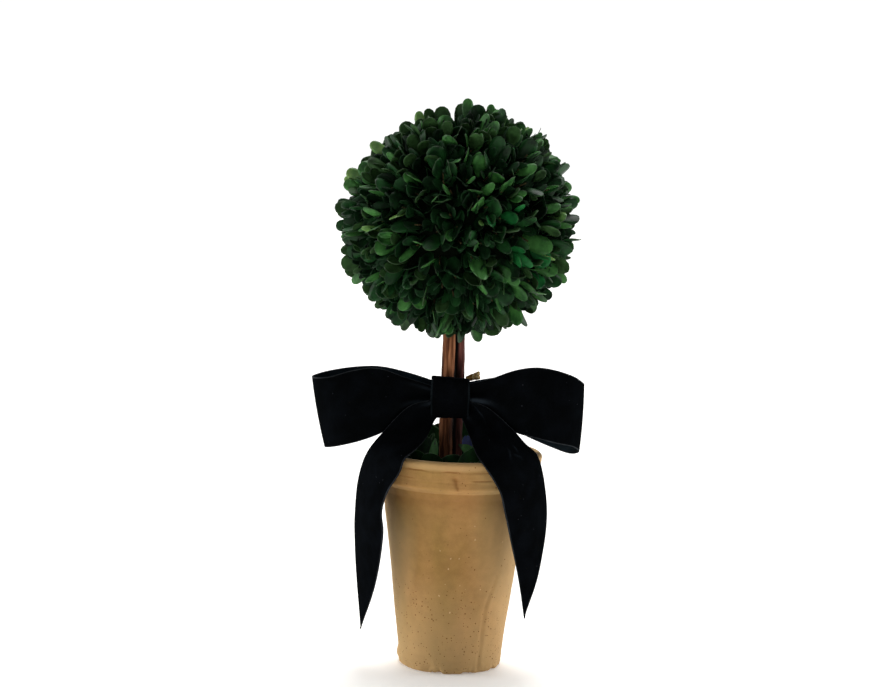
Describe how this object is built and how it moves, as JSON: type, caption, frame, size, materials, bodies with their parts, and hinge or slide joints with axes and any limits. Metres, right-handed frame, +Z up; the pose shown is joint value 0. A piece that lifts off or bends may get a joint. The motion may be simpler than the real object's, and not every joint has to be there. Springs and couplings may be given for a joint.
{
  "type": "box topiary ball",
  "caption": "Clipped ball of box leaves on a pair of sticks, standing in a tall tapered clay pot and tied at the stem with a velvet ribbon bow.",
  "frame": {"origin": "centre of the pot's flat underside", "axes": "+Z up along the plant; the bow faces -Y, and +X is to the right when facing the bow"},
  "size_m": [0.1931, 0.1755, 0.4044],
  "materials": {
    "clay": "unglazed buff terracotta, fine sandy surface with pinholes and worn patches",
    "filling": "dry floral foam, dull and dark",
    "cover_leaf": "broad dried leaves, satin, dark green with paler margins",
    "bark": "smooth reddish-brown bark with lengthwise streaks",
    "box_leaf": "preserved box leaves, satin, dark to mid green",
    "velvet": "black velvet pile with a soft sheen at grazing angles"
  },
  "bodies": {
    "root": {"pot": "clay", "pot_fill": "filling", "pot_leaves": "cover_leaf", "stick_left": "bark", "stick_right": "bark", "side_shoot": "bark", "foliage_ball": "box_leaf", "bow_band": "velvet", "bow_knot": "velvet", "bow_loop_left": "velvet", "bow_loop_right": "velvet", "bow_tail_left": "velvet", "bow_tail_right": "velvet"}
  },
  "joints": []
}
